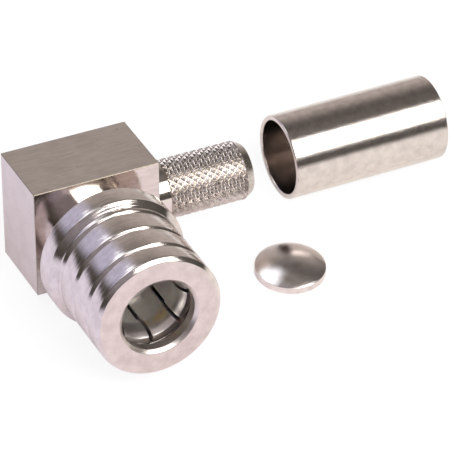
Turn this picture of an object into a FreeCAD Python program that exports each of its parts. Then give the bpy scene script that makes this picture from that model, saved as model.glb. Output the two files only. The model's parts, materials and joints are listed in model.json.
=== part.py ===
import FreeCAD, Part
import math
import os

# Right-angle quick-lock crimp coaxial plug, with its crimp ferrule and access cap lying beside it.
# Millimetres. The connector is first built square to its own axes: the mating axis is Y, the cable
# axis is X, and stations along Y count from the sleeve's flat front face, into the connector.
# It is then tilted nose up by the small angle at which it rests on its collar and its block,
# so that Z is up from the table. The origin is the centre of the mouth's guide wall.

V = FreeCAD.Vector

# Mating mouth, the size that the whole coupling follows
MOUTH_R = 2.76
MOUTH_CHAMFER = 0.30
MOUTH_WALL = 0.65

# Radii of the coupling, each one wall or step out from the last
MOUTH_LIP = 0.04
FINGER_WALL = 0.45
BEAD_HEIGHT = 0.17
CREST_HEIGHT = 0.27
TIP_RELIEF = 0.08
SPIGOT_STEP = 0.70
RUNNING_GAP = 0.06
SLEEVE_WALL = 1.19
COLLAR_STEP = 0.44
SPIGOT_R = MOUTH_R + MOUTH_LIP
FINGER_R = SPIGOT_R + FINGER_WALL
BEAD_R = FINGER_R + BEAD_HEIGHT
CREST_R = SPIGOT_R - CREST_HEIGHT
TIP_MOUTH_R = SPIGOT_R + TIP_RELIEF
NOSE_R = SPIGOT_R + SPIGOT_STEP
SLEEVE_R = NOSE_R + RUNNING_GAP + SLEEVE_WALL
COLLAR_R = SLEEVE_R + COLLAR_STEP

# Locking collet with slotted fingers
FINGER_COUNT = 8
FIRST_SLOT_DEG = 2.5
SLOT_WIDTH = 0.28
TIP_INSET = 0.91
FINGER_LENGTH = 4.74
CREST_INSET = 1.39
CREST_LAND = 0.42
CREST_BACK = 0.20
BEAD_LENGTH = 0.80
BEAD_BACK = 0.18
BEAD_BREAK = 0.12
SLOT_ROOT_INSET = 0.20
FINGER_FRONT = MOUTH_CHAMFER + MOUTH_WALL + TIP_INSET
CREST_STATION = FINGER_FRONT + CREST_INSET
SPIGOT_FRONT = FINGER_FRONT + FINGER_LENGTH

# Nose of the block, and the split ring in its channel
SPIGOT_LENGTH = 0.90
NOSE_BREAK = 0.12
SLEEVE_TRAVEL = 0.85
SIDE_GAP = 0.05
RING_INSET = 0.57
RING_WIDTH = 0.46
RING_STAND_OUT = 0.45
RING_SPLIT = 1.20
RING_FLOOR_GAP = 0.06
RING_DEPTH_IN_NOSE = 0.45
SPIGOT_REAR = SPIGOT_FRONT + SPIGOT_LENGTH
RING_R = NOSE_R + RING_STAND_OUT
RING_FRONT = SPIGOT_REAR + RING_INSET
RING_REAR = RING_FRONT + RING_WIDTH

# Sliding sleeve: collar, grooves, front edge and the rooms inside
FRONT_CHAMFER = 0.27
COLLAR_LAND = 0.435
COLLAR_LENGTH = 1.715
COLLAR_BREAK = 0.12
COLLAR_CONE = 0.46
GROOVE_COUNT = 3
FIRST_GROOVE = 1.88
GROOVE_PITCH = 2.2475
GROOVE_WIDTH = 0.44
GROOVE_DEPTH = 0.22
SPREAD_ROOM = 0.53
REAR_ROOM = 0.60
LOCK_GAP = 0.08
LOCK_INSET = 0.04
REAR_LIP = 0.20
COLLAR_REAR = RING_REAR + COLLAR_LAND
COLLAR_FRONT = COLLAR_REAR - COLLAR_LENGTH

# Right-angle block
NECK_LENGTH = 2.72
BLOCK_LEFT = 4.32
BLOCK_RIGHT = 5.34
BLOCK_HALF_HEIGHT = 4.275
BLOCK_DEPTH = 6.08
EDGE_BREAK = 0.04
BLOCK_FRONT = COLLAR_REAR + NECK_LENGTH
BLOCK_REAR = BLOCK_FRONT + BLOCK_DEPTH

# Outer contact in the nose
SPIGOT_WALL = 0.38
FLEX_GAP = 0.12
OUTER_CONTACT_WALL = 0.24
OUTER_CONTACT_STAND_OUT = 0.30
OUTER_CONTACT_FREE = 2.30
OUTER_CONTACT_SEAT = 1.20
OUTER_CONTACT_SLOTS = 4
OUTER_CONTACT_SLOT = 0.25
OUTER_CONTACT_BREAK = 0.08
SLOT_END_GAP = 0.10
OUTER_CONTACT_R = SPIGOT_R - SPIGOT_WALL - FLEX_GAP
OUTER_CONTACT_BORE_R = OUTER_CONTACT_R - OUTER_CONTACT_WALL
OUTER_CONTACT_FRONT = SPIGOT_FRONT - OUTER_CONTACT_STAND_OUT
OUTER_CONTACT_FLEX_REAR = OUTER_CONTACT_FRONT + OUTER_CONTACT_FREE
OUTER_CONTACT_REAR = OUTER_CONTACT_FLEX_REAR + OUTER_CONTACT_SEAT

# Insulator and centre contact
PIN_R = 0.46
PIN_TIP_R = 0.21
PIN_POINT = 0.35
PIN_STAND_OUT = 2.50
CONTACT_R = 0.64
POST_R = 0.85
POST_INSET = 0.60
POST_LENGTH = 1.50
POST_SLOT = 0.94
INSULATOR_INSET = 0.45
INSULATOR_FRONT_WALL = 0.75
INSULATOR_IN_BLOCK = 1.315
PIN_FRONT = SPIGOT_FRONT - PIN_STAND_OUT
INSULATOR_FRONT = OUTER_CONTACT_FRONT + INSULATOR_INSET
CONTACT_SHOULDER = INSULATOR_FRONT + INSULATOR_FRONT_WALL
INSULATOR_REAR = BLOCK_FRONT + INSULATOR_IN_BLOCK
POST_FRONT = INSULATOR_REAR + POST_INSET
POST_REAR = POST_FRONT + POST_LENGTH

# Access well and the cap that closes it
WELL_R = 2.10
CAP_LEDGE = 0.492
CAP_CLEARANCE = 0.008
CAP_RIM = 0.40
CAP_DOME = 0.80
CAP_WALL = 0.392
CAP_HOLLOW = 0.70
CAP_SEAT_DEPTH = 0.50
CAP_R = WELL_R + CAP_LEDGE
CAP_HOLLOW_R = CAP_R - CAP_WALL

# Cable axis and the crimp stem
STEM_INSET = 2.645
STEM_BORE_R = 1.50
SHANK_WALL = 0.50
SHOULDER_HEIGHT = 0.05
KNURL_HEIGHT = 0.174
SHANK_IN_WALL = 0.20
SMOOTH_LENGTH = 1.22
STEM_LENGTH = 7.844
STEM_CHAMFER = 0.36
STEM_TAPER = 0.63
STEM_STATION = BLOCK_FRONT + STEM_INSET
SHANK_R = STEM_BORE_R + SHANK_WALL
SMOOTH_R = SHANK_R + SHOULDER_HEIGHT
KNURL_R = SMOOTH_R + KNURL_HEIGHT
SHANK_START = WELL_R + SHANK_IN_WALL
STEM_END = BLOCK_RIGHT + STEM_LENGTH

# Crimp ferrule, which slides over the knurl with the braid between
BRAID_ROOM = 0.571
FERRULE_WALL = 0.38
FERRULE_LENGTH = 12.50
FERRULE_BREAK = 0.10
FERRULE_BORE_R = KNURL_R + BRAID_ROOM
FERRULE_R = FERRULE_BORE_R + FERRULE_WALL

# Where the loose pieces lie on the table, measured from the connector
FERRULE_GAP = 3.742
FERRULE_Y = 15.37
FERRULE_YAW_DEG = 0.63
CAP_GAP = 6.053
CAP_Y = 6.73
FERRULE_X = STEM_END + FERRULE_GAP
CAP_X = COLLAR_R + CAP_GAP + CAP_R

# How far a cutter runs past the face that it opens
CUT_PAST = 1.0

# The origin sits at the middle of the mouth's guide wall
ORIGIN_STATION = MOUTH_CHAMFER + MOUTH_WALL / 2

# Resting angle: the collar's rear rim and the block's lower rear edge both touch the table
COLLAR_TOUCH = COLLAR_REAR - COLLAR_BREAK - ORIGIN_STATION
BLOCK_TOUCH = BLOCK_REAR - EDGE_BREAK - ORIGIN_STATION
REST_TILT = math.atan2(COLLAR_R - BLOCK_HALF_HEIGHT, BLOCK_TOUCH - COLLAR_TOUCH)
TABLE_Z = -(COLLAR_TOUCH * math.sin(REST_TILT) + COLLAR_R * math.cos(REST_TILT))


def turned(profile):
    """A piece turned about the mating axis, from (station, radius) pairs."""
    points = [V(radius, station, 0) for station, radius in profile]
    face = Part.Face(Part.makePolygon(points + [points[0]]))
    return face.revolve(V(0, 0, 0), V(0, 1, 0), 360)


def turned_on_cable_axis(profile):
    """A piece turned about the cable axis, from (x, radius) pairs."""
    points = [V(x, STEM_STATION + radius, 0) for x, radius in profile]
    face = Part.Face(Part.makePolygon(points + [points[0]]))
    return face.revolve(V(0, STEM_STATION, 0), V(1, 0, 0), 360)


def round_bore(front, rear, radius):
    """A round hole about the mating axis."""
    return Part.makeCylinder(radius, rear - front, V(0, front, 0), V(0, 1, 0))


def slots(count, width, front, rear, reach, first_deg):
    """Radial saw slots, spaced evenly round the mating axis."""
    cutters = []
    for index in range(count):
        blade = Part.makeBox(reach, rear - front, width, V(0, front, -width / 2))
        blade.rotate(V(0, 0, 0), V(0, 1, 0), -(first_deg + index * 360 / count))
        cutters.append(blade)
    return cutters


def outer_edges(solid, low, high):
    """The straight edges of a block that lie on the corners of its own box."""
    found = []
    for edge in solid.Edges:
        box = edge.BoundBox
        middle = box.Center
        on_x = min(abs(middle.x - low.x), abs(middle.x - high.x)) < 1e-6
        on_y = min(abs(middle.y - low.y), abs(middle.y - high.y)) < 1e-6
        on_z = min(abs(middle.z - low.z), abs(middle.z - high.z)) < 1e-6
        if on_x + on_y + on_z >= 2:
            found.append(edge)
    return found


def block_blank():
    """The square part of the housing, with its edges broken."""
    low = V(-BLOCK_LEFT, BLOCK_FRONT, -BLOCK_HALF_HEIGHT)
    high = V(BLOCK_RIGHT, BLOCK_REAR, BLOCK_HALF_HEIGHT)
    size = high - low
    blank = Part.makeBox(size.x, size.y, size.z, low)
    return blank.makeChamfer(EDGE_BREAK, outer_edges(blank, low, high))


def nose():
    """The round nose: spigot for the collet, channel for the split ring, smooth neck."""
    channel_front = RING_FRONT - SIDE_GAP
    channel_rear = RING_REAR + SLEEVE_TRAVEL + SIDE_GAP
    channel_r = NOSE_R - RING_DEPTH_IN_NOSE
    return turned([
        (SPIGOT_FRONT, 0),
        (SPIGOT_FRONT, SPIGOT_R - NOSE_BREAK),
        (SPIGOT_FRONT + NOSE_BREAK, SPIGOT_R),
        (SPIGOT_REAR, SPIGOT_R),
        (SPIGOT_REAR, NOSE_R),
        (channel_front, NOSE_R),
        (channel_front, channel_r),
        (channel_rear, channel_r),
        (channel_rear, NOSE_R),
        (BLOCK_FRONT + EDGE_BREAK, NOSE_R),
        (BLOCK_FRONT + EDGE_BREAK, 0),
    ])


def body_block():
    """The housing: block and nose in one, bored through, with the cable hole and the access well."""
    housing = block_blank().fuse(nose())
    seat_front = BLOCK_REAR - CAP_SEAT_DEPTH
    cutters = [
        round_bore(SPIGOT_FRONT - CUT_PAST, OUTER_CONTACT_FLEX_REAR, OUTER_CONTACT_R + FLEX_GAP),
        round_bore(SPIGOT_FRONT, OUTER_CONTACT_REAR, OUTER_CONTACT_R),
        round_bore(SPIGOT_FRONT, INSULATOR_REAR, OUTER_CONTACT_BORE_R),
        round_bore(INSULATOR_REAR, BLOCK_REAR, WELL_R),
        round_bore(seat_front, BLOCK_REAR + CUT_PAST, CAP_R + CAP_CLEARANCE),
        Part.makeCylinder(SHANK_R, BLOCK_RIGHT + CUT_PAST, V(0, STEM_STATION, 0), V(1, 0, 0)),
    ]
    for cutter in cutters:
        housing = housing.cut(cutter)
    return housing.removeSplitter()


def crimp_stem():
    """The crimp tube pressed into the block: shank, smooth neck, knurled crimp length, bore."""
    knurl_start = BLOCK_RIGHT + SMOOTH_LENGTH
    tube = turned_on_cable_axis([
        (SHANK_START, STEM_BORE_R),
        (SHANK_START, SHANK_R),
        (BLOCK_RIGHT, SHANK_R),
        (BLOCK_RIGHT, SMOOTH_R),
        (knurl_start, SMOOTH_R),
        (knurl_start + (KNURL_R - SMOOTH_R), KNURL_R),
        (STEM_END - STEM_TAPER, KNURL_R),
        (STEM_END, KNURL_R - STEM_CHAMFER),
        (STEM_END, STEM_BORE_R),
    ])
    # The inner end is cut round so that the well stays clear for soldering.
    reach = SHANK_R + CUT_PAST
    return tube.cut(round_bore(STEM_STATION - reach, STEM_STATION + reach, WELL_R))


def sleeve_outside():
    """The sleeve's outline from its front face to its collar."""
    return [
        (0, SLEEVE_R - FRONT_CHAMFER),
        (FRONT_CHAMFER, SLEEVE_R),
        (COLLAR_FRONT - COLLAR_CONE, SLEEVE_R),
        (COLLAR_FRONT, COLLAR_R),
        (COLLAR_REAR - COLLAR_BREAK, COLLAR_R),
        (COLLAR_REAR, COLLAR_R - COLLAR_BREAK),
    ]


def sleeve_inside():
    """The sleeve's bore from its collar back to its mouth."""
    bore_r = NOSE_R + RUNNING_GAP
    lock_r = BEAD_R + LOCK_GAP
    ring_rear = RING_REAR + SIDE_GAP
    ring_front = RING_FRONT - SIDE_GAP
    lip_front = SPIGOT_REAR - REAR_LIP
    lock_front = FINGER_FRONT + LOCK_INSET
    lock_rear = lock_front + SLEEVE_TRAVEL
    room_front = MOUTH_CHAMFER + MOUTH_WALL
    return [
        (COLLAR_REAR, bore_r),
        (ring_rear, bore_r),
        (ring_rear, RING_R + SIDE_GAP),
        (ring_front, RING_R + SIDE_GAP),
        (ring_front, bore_r),
        (lip_front, bore_r),
        (lip_front, FINGER_R + REAR_ROOM),
        (lock_rear, FINGER_R + REAR_ROOM),
        (lock_rear, lock_r),
        (lock_front, lock_r),
        (lock_front, BEAD_R + SPREAD_ROOM),
        (room_front, BEAD_R + SPREAD_ROOM),
        (room_front, MOUTH_R),
        (MOUTH_CHAMFER, MOUTH_R),
        (0, MOUTH_R + MOUTH_CHAMFER),
    ]


def coupling_sleeve():
    """The sliding sleeve: one turned piece with V-shaped grip grooves and a collar."""
    sleeve = turned(sleeve_outside() + sleeve_inside())
    # The tool is twice as deep as the groove, so it stands out of the surface as far as it goes in.
    inner = SLEEVE_R - GROOVE_DEPTH
    outer = SLEEVE_R + GROOVE_DEPTH
    for index in range(GROOVE_COUNT):
        centre = FIRST_GROOVE + index * GROOVE_PITCH
        ring = turned([(centre, inner), (centre - GROOVE_WIDTH, outer), (centre + GROOVE_WIDTH, outer)])
        sleeve = sleeve.cut(ring)
    return sleeve


def locking_collet():
    """The spring collet: eight fingers with an inner crest and an outer bead, and a rear ring."""
    bead_rear = FINGER_FRONT + BEAD_LENGTH
    slot_front = FINGER_FRONT - CUT_PAST
    slot_root = SPIGOT_FRONT - SLOT_ROOT_INSET
    collet = turned([
        (FINGER_FRONT, TIP_MOUTH_R),
        (FINGER_FRONT, BEAD_R - BEAD_BREAK),
        (FINGER_FRONT + BEAD_BREAK, BEAD_R),
        (bead_rear - BEAD_BACK, BEAD_R),
        (bead_rear, FINGER_R),
        (SPIGOT_REAR, FINGER_R),
        (SPIGOT_REAR, SPIGOT_R),
        (CREST_STATION + CREST_LAND + CREST_BACK, SPIGOT_R),
        (CREST_STATION + CREST_LAND, CREST_R),
        (CREST_STATION, CREST_R),
    ])
    for blade in slots(FINGER_COUNT, SLOT_WIDTH, slot_front, slot_root, BEAD_R + CUT_PAST, FIRST_SLOT_DEG):
        collet = collet.cut(blade)
    return collet


def retaining_ring():
    """The split ring between the nose's channel and the sleeve's groove, open at the bottom."""
    inner = NOSE_R - RING_DEPTH_IN_NOSE + RING_FLOOR_GAP
    ring = turned([(RING_FRONT, inner), (RING_FRONT, RING_R), (RING_REAR, RING_R), (RING_REAR, inner)])
    reach = RING_R + CUT_PAST
    corner = V(-RING_SPLIT / 2, RING_FRONT - CUT_PAST, -reach)
    gap = Part.makeBox(RING_SPLIT, RING_WIDTH + 2 * CUT_PAST, reach, corner)
    return ring.cut(gap)


def outer_contact():
    """The outer-conductor tube in the nose, slotted over its free length."""
    front = OUTER_CONTACT_FRONT
    tube = turned([
        (front, OUTER_CONTACT_BORE_R),
        (front, OUTER_CONTACT_R - OUTER_CONTACT_BREAK),
        (front + OUTER_CONTACT_BREAK, OUTER_CONTACT_R),
        (OUTER_CONTACT_REAR, OUTER_CONTACT_R),
        (OUTER_CONTACT_REAR, OUTER_CONTACT_BORE_R),
    ])
    slot_rear = OUTER_CONTACT_FLEX_REAR - SLOT_END_GAP
    first_deg = 180 / OUTER_CONTACT_SLOTS
    reach = OUTER_CONTACT_R + CUT_PAST
    slot_front = front - CUT_PAST
    for blade in slots(OUTER_CONTACT_SLOTS, OUTER_CONTACT_SLOT, slot_front, slot_rear, reach, first_deg):
        tube = tube.cut(blade)
    return tube


def front_insulator():
    """The dielectric tube round the centre contact, with a front wall that stops the contact."""
    return turned([
        (INSULATOR_FRONT, PIN_R),
        (INSULATOR_FRONT, OUTER_CONTACT_BORE_R),
        (INSULATOR_REAR, OUTER_CONTACT_BORE_R),
        (INSULATOR_REAR, CONTACT_R),
        (CONTACT_SHOULDER, CONTACT_R),
        (CONTACT_SHOULDER, PIN_R),
    ])


def centre_contact():
    """The centre contact: pointed pin, body, and a solder post with its slot open to the rear."""
    contact = turned([
        (PIN_FRONT, 0),
        (PIN_FRONT, PIN_TIP_R),
        (PIN_FRONT + PIN_POINT, PIN_R),
        (CONTACT_SHOULDER, PIN_R),
        (CONTACT_SHOULDER, CONTACT_R),
        (POST_FRONT, CONTACT_R),
        (POST_FRONT, POST_R),
        (POST_REAR, POST_R),
        (POST_REAR, 0),
    ])
    floor = STEM_STATION - POST_SLOT / 2
    reach = POST_R + CUT_PAST
    depth = POST_REAR - floor + CUT_PAST
    return contact.cut(Part.makeBox(2 * reach, depth, POST_SLOT, V(-reach, floor, -POST_SLOT / 2)))


def crimp_ferrule():
    """The loose crimp tube, lying on the table with its axis nearly along X."""
    tube = Part.makeCylinder(FERRULE_R, FERRULE_LENGTH, V(0, 0, 0), V(1, 0, 0))
    rims = [edge for edge in tube.Edges if len(edge.Vertexes) == 1]
    tube = tube.makeChamfer(FERRULE_BREAK, rims)
    bore_length = FERRULE_LENGTH + 2 * CUT_PAST
    tube = tube.cut(Part.makeCylinder(FERRULE_BORE_R, bore_length, V(-CUT_PAST, 0, 0), V(1, 0, 0)))
    tube.rotate(V(0, 0, 0), V(0, 0, 1), FERRULE_YAW_DEG)
    tube.translate(V(FERRULE_X, FERRULE_Y, TABLE_Z + FERRULE_R))
    return tube


def access_cap():
    """The loose domed cap, lying crown up, with a hollow underside and a flat rim."""
    crown_r = (CAP_R ** 2 + CAP_DOME ** 2) / (2 * CAP_DOME)
    hollow_r = (CAP_HOLLOW_R ** 2 + CAP_HOLLOW ** 2) / (2 * CAP_HOLLOW)
    disc = Part.makeCylinder(CAP_R, CAP_RIM + CAP_DOME)
    crown = Part.makeSphere(crown_r, V(0, 0, CAP_RIM + CAP_DOME - crown_r))
    hollow = Part.makeSphere(hollow_r, V(0, 0, CAP_HOLLOW - hollow_r))
    cap = disc.common(crown).cut(hollow)
    cap.translate(V(CAP_X, CAP_Y, TABLE_Z))
    return cap


def at_rest(shape):
    """Moves a connector piece to the row's origin and tilts it to the resting angle."""
    placed = shape.copy()
    placed.translate(V(0, -ORIGIN_STATION, 0))
    placed.rotate(V(0, 0, 0), V(1, 0, 0), -math.degrees(REST_TILT))
    return placed


CONNECTOR_PIECES = {
    "body_block": body_block,
    "crimp_stem": crimp_stem,
    "coupling_sleeve": coupling_sleeve,
    "locking_collet": locking_collet,
    "retaining_ring": retaining_ring,
    "outer_contact": outer_contact,
    "front_insulator": front_insulator,
    "centre_contact": centre_contact,
}

LOOSE_PIECES = {
    "crimp_ferrule": crimp_ferrule,
    "access_cap": access_cap,
}

os.makedirs("parts", exist_ok=True)

for name, build in CONNECTOR_PIECES.items():
    at_rest(build()).exportStep("parts/" + name + ".step")

for name, build in LOOSE_PIECES.items():
    build().exportStep("parts/" + name + ".step")

print("resting tilt", round(math.degrees(REST_TILT), 4), "table", round(TABLE_Z, 4))
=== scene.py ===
# %% [markdown]
# # A right-angle crimp coaxial plug
# The real object is a small plug for coaxial cable: a square nickel-plated housing, a turned sleeve that
# slides and spins on its nose, a knurled tube that the cable's braid is crimped over, and two loose pieces,
# a crimp ferrule and a domed cap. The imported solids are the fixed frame, and every new piece is built round
# them in the same place. They could be kept as they are, but machined metal is read by its rounded edges,
# its knurl and its tool marks, so the pieces that carry those are modelled again here.

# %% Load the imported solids
import bmesh
import bpy
import json
import math
from mathutils import Matrix, Vector


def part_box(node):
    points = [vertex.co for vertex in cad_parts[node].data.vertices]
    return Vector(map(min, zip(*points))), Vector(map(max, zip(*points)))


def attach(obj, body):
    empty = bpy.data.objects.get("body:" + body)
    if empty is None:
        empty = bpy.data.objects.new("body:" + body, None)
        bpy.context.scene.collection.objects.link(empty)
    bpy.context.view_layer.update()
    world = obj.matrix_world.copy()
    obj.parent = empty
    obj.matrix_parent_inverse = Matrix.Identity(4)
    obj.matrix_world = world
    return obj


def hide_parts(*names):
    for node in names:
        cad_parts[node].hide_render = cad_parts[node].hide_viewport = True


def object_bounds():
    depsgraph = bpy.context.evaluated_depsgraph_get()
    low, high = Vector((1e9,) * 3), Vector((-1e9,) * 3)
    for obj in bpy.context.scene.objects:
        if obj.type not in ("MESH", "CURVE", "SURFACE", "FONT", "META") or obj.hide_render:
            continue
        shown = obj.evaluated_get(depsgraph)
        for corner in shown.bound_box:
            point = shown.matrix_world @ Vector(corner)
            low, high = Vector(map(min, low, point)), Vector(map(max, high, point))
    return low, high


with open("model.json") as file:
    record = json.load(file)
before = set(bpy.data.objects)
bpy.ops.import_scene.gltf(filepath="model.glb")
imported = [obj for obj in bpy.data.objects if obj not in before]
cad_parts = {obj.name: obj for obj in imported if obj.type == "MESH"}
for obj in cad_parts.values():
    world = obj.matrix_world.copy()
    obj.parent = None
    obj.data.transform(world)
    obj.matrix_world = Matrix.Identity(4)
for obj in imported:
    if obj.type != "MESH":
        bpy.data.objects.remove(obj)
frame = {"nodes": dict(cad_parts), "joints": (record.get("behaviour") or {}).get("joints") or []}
cad_low, cad_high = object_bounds()
nodes = frame["nodes"]
print("solids:", ", ".join(sorted(nodes)))

# %% [markdown]
# ## Millimetres and the tilted axis
# The plug rests on its sleeve's collar and its housing, so its axis leans a little. Every round piece could
# be drawn leaning, but it is easier to draw it on a level axis, with a station counted from the sleeve's
# mouth, and to tilt it once. The lean is read from the sliding joint's axis, so it can't disagree with the
# solids.

# %% Units and the plug's own axis
MM = 0.001
ORIGIN_STATION = 0.625
mating_axis = Vector(frame["joints"][0]["axis"]).normalized()
TILT = math.asin(-mating_axis.z)
on_axis = Matrix.Rotation(-TILT, 4, "X") @ Matrix.Translation((0, -ORIGIN_STATION * MM, 0))
table_height = cad_low.z
print("axis leans %.2f degrees, table at %.3f mm" % (math.degrees(TILT), table_height / MM))

# %% [markdown]
# ## The camera
# The photograph was taken with a long lens from the front left and well above the table. A camera could be
# placed by eye, but the outlines of the block, the sleeve and the ferrule give one position, one turn and
# one focal length together, so those are written here. The two directions across the picture are squared
# up, because a camera's axes have to be at right angles.

# %% Camera
CAMERA_PLACE = Vector((-0.089495, -0.187178, 0.178882))
PICTURE_RIGHT = Vector((0.904904, -0.424130, 0.035517))
PICTURE_UP = Vector((0.245126, 0.587566, 0.771155))
FOCAL_LENGTH = 317.78
SENSOR = 36.0
to_camera = PICTURE_RIGHT.cross(PICTURE_UP).normalized()
picture_up = to_camera.cross(PICTURE_RIGHT).normalized()
camera_data = bpy.data.cameras.new("photo_camera")
camera_data.lens = FOCAL_LENGTH
camera_data.sensor_width = SENSOR
camera_data.clip_start = 10 * MM
camera = bpy.data.objects.new("photo_camera", camera_data)
axes = Matrix((PICTURE_RIGHT.normalized(), picture_up, to_camera)).transposed()
camera.matrix_world = Matrix.Translation(CAMERA_PLACE) @ axes.to_4x4()
bpy.context.scene.collection.objects.link(camera)
bpy.context.scene.camera = camera
print("camera looks down at", round(math.degrees(math.asin(to_camera.z)), 1), "degrees")

# %% [markdown]
# ## Building materials from nodes
# A material is a small net of nodes. One helper adds a node, sets its properties and links its inputs, so
# that each finish reads as a list of steps. Colours are written as the hex values that a paint program
# shows and are turned to linear light by one function. A Mix node keeps sockets for every kind of value, so
# the ones for numbers and for colours are picked by their place in its list, and those places are named
# once here.

# %% Two small helpers
NICKEL = "#E7DFDA"
DULL_NICKEL = "#D6CDC8"
WHITE = (1.0, 1.0, 1.0, 1.0)
NUMBER_A, NUMBER_B, NUMBER_OUT = 2, 3, 0
COLOUR_A, COLOUR_B, COLOUR_OUT = 6, 7, 2


def linear(hex_colour):
    """The linear colour, with an alpha of 1, of an sRGB hex value."""
    parts = [int(hex_colour[place:place + 2], 16) / 255 for place in (1, 3, 5)]
    return tuple(p / 12.92 if p <= 0.04045 else ((p + 0.055) / 1.055) ** 2.4 for p in parts) + (1.0,)


def add_node(tree, kind, settings=None, inputs=None):
    """Adds one node. A ramp's grey stops are a setting, and an input takes a value or a socket to link."""
    made = tree.nodes.new(kind)
    for name, value in (settings or {}).items():
        if name == "stops":
            elements = made.color_ramp.elements
            for place, level in value[1:-1]:
                elements.new(place)
            for element, (place, level) in zip(elements, value):
                element.position = place
                element.color = (level, level, level, 1.0)
        else:
            setattr(made, name, value)
    for place, value in (inputs or {}).items():
        if isinstance(value, bpy.types.NodeSocket):
            tree.links.new(value, made.inputs[place])
        else:
            made.inputs[place].default_value = value
    return made


print("nickel in linear light:", [round(c, 2) for c in linear(NICKEL)[:3]])

# %% [markdown]
# ## Directions in the studio
# Polished metal shows its surroundings more than its own colour, so the studio matters as much as the
# finish. The photograph's own cap, ferrule and sleeve mirror that studio, and each of its parts lies in
# some direction. A direction could be three numbers, but two angles are easier to read off a picture: its
# turn clockwise from straight behind, seen from above, and its rise. A patch of light then has a middle
# direction, an angle within which it is full and a wider one at which it is gone.

# %% Directions and soft patches
def compass(turn, rise=0):
    """The unit vector of a direction given in degrees."""
    turn, rise = math.radians(turn), math.radians(rise)
    return Vector((math.sin(turn) * math.cos(rise), math.cos(turn) * math.cos(rise), math.sin(rise)))


def patch_share(tree, direction, middle, full, gone):
    """How much of a soft patch shows in a direction, from 1 near its middle to 0 beyond its rim."""
    closeness = add_node(tree, "ShaderNodeVectorMath", {"operation": "DOT_PRODUCT"},
                         {0: direction, 1: middle}).outputs["Value"]
    return add_node(tree, "ShaderNodeMapRange", {"interpolation_type": "SMOOTHSTEP"},
                    {"Value": closeness, "From Min": math.cos(math.radians(gone)),
                     "From Max": math.cos(math.radians(full))}).outputs["Result"]


print("straight behind is", tuple(compass(0)))

# %% [markdown]
# ## The room and the backdrop
# The metal mirrors a pale backdrop behind the object, which fades upwards, and a dim room all round. A
# picture of a studio could be wrapped round the scene, but two ramps from the table's level upwards give
# the same and stay sharp. Each of their stops is the sine of a rise and the light from there.

# %% World: pale backdrop behind, dim room elsewhere
BACKDROP_TURN, BACKDROP_FULL, BACKDROP_GONE = 18, 28, 55
ROOM = [(0, 0.06), (0.12, 0.08), (0.30, 0.11), (0.766, 0.11), (0.914, 0.14), (0.97, 0.24)]
BACKDROP = [(0, 0.57), (0.17, 0.56), (0.34, 0.52), (0.485, 0.43), (0.616, 0.315), (0.72, 0.20), (0.81, 0.12),
            (0.914, 0.14), (0.97, 0.24)]
ROOM_HUE, BACKDROP_HUE = "#FFF4EA", "#FFF3EC"
world = bpy.data.worlds.new("studio")
bpy.context.scene.world = world
world.use_nodes = True
tree = world.node_tree
tree.nodes.clear()
direction = add_node(tree, "ShaderNodeTexCoord").outputs["Generated"]
height = add_node(tree, "ShaderNodeSeparateXYZ", inputs={0: direction}).outputs["Z"]
flattened = add_node(tree, "ShaderNodeVectorMath", {"operation": "MULTIPLY"}, {0: direction, 1: (1, 1, 0)})
level_direction = add_node(tree, "ShaderNodeVectorMath", {"operation": "NORMALIZE"},
                           {0: flattened.outputs["Vector"]}).outputs["Vector"]
layers = []
for stops, hue in ((ROOM, ROOM_HUE), (BACKDROP, BACKDROP_HUE)):
    grey = add_node(tree, "ShaderNodeValToRGB", {"stops": stops}, {"Fac": height}).outputs["Color"]
    layers.append(add_node(tree, "ShaderNodeMix", {"data_type": "RGBA", "blend_type": "MULTIPLY"}, {
        "Factor": 1.0, COLOUR_A: grey, COLOUR_B: linear(hue)}).outputs[COLOUR_OUT])
behind = patch_share(tree, level_direction, compass(BACKDROP_TURN), BACKDROP_FULL, BACKDROP_GONE)
surroundings = add_node(tree, "ShaderNodeMix", {"data_type": "RGBA"}, {
    "Factor": behind, COLOUR_A: layers[0], COLOUR_B: layers[1]}).outputs[COLOUR_OUT]
print("backdrop and room have", len(ROOM) + len(BACKDROP), "stops of light")

# %% [markdown]
# ## A window, a haze and the white background
# Two more patches show in the metal: a bluish window at the back left and a pale haze high at the front
# left. Lamps could stand for them, but a lamp's rim is sharp, and these are soft. Camera rays skip all of
# it and see plain white, as the photograph's background is.

# %% Soft glows and what the camera sees
# Each glow's turn, rise, full angle and outer angle in degrees, and its linear light.
WINDOW = (-26, 26, 5, 23, (0.62, 0.61, 0.80, 1.0))
FRONT_HAZE = (-145, 50, 15, 42, (0.32, 0.29, 0.32, 1.0))
for turn, rise, full, gone, glow_light in (WINDOW, FRONT_HAZE):
    inside = patch_share(tree, direction, compass(turn, rise), full, gone)
    surroundings = add_node(tree, "ShaderNodeMix", {"data_type": "RGBA"}, {
        "Factor": inside, COLOUR_A: surroundings, COLOUR_B: glow_light}).outputs[COLOUR_OUT]
ray = add_node(tree, "ShaderNodeLightPath")
seen = add_node(tree, "ShaderNodeMix", {"data_type": "RGBA"}, {
    "Factor": ray.outputs["Is Camera Ray"], COLOUR_A: surroundings, COLOUR_B: WHITE})
light = add_node(tree, "ShaderNodeBackground", inputs={"Color": seen.outputs[COLOUR_OUT], "Strength": 1.0})
add_node(tree, "ShaderNodeOutputWorld", inputs={"Surface": light.outputs["Background"]})
bpy.context.scene.view_settings.view_transform = "Standard"
print("world has", len(tree.nodes), "nodes")
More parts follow.
